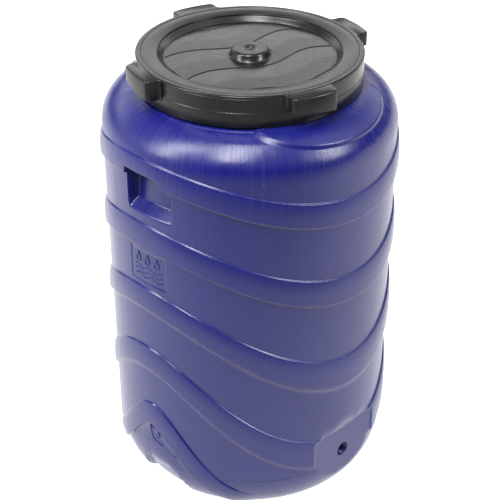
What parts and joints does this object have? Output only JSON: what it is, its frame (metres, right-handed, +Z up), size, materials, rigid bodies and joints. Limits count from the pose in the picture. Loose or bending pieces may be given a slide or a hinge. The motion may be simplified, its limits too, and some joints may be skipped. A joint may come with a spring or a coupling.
{
  "type": "screw-top barrel",
  "caption": "Blue moulded plastic wide-mouth barrel with wavy bands, two hand-grip pockets, a tap hole and a black screw ring over a dished lid disc.",
  "frame": {"origin": "middle of the foot circle, on the surface that the barrel stands on", "axes": "+Z up along the barrel's axis, -Y towards the flat tap pad, +X and -X towards the hand-grip pockets"},
  "size_m": [0.498, 0.498, 0.787],
  "materials": {
    "barrel_plastic": "semi-gloss dark blue blow-moulded polyethylene",
    "gasket_rubber": "matt black foam rubber",
    "lid_plastic": "satin black injection-moulded plastic with shallow waves",
    "ring_plastic": "satin black injection-moulded plastic"
  },
  "bodies": {
    "barrel": {"barrel_body": "barrel_plastic"},
    "lid": {"lid_disc": "lid_plastic", "gasket": "gasket_rubber"},
    "ring": {"screw_ring": "ring_plastic"}
  },
  "joints": [
    {"name": "lid_lift", "type": "slide", "parent": "barrel", "child": "lid", "axis": [0, 0, 1], "range_m": [0, 0.0601]},
    {"name": "ring_turn", "type": "hinge", "parent": "lid", "child": "ring", "pos_m": [0, 0, 0.761], "axis": [0, 0, 1], "range_deg": [0, 900]}
  ],
  "couplings": [
    {"joint": "lid_lift", "follows": "ring_turn", "m_per_rad": 0.0038197}
  ]
}
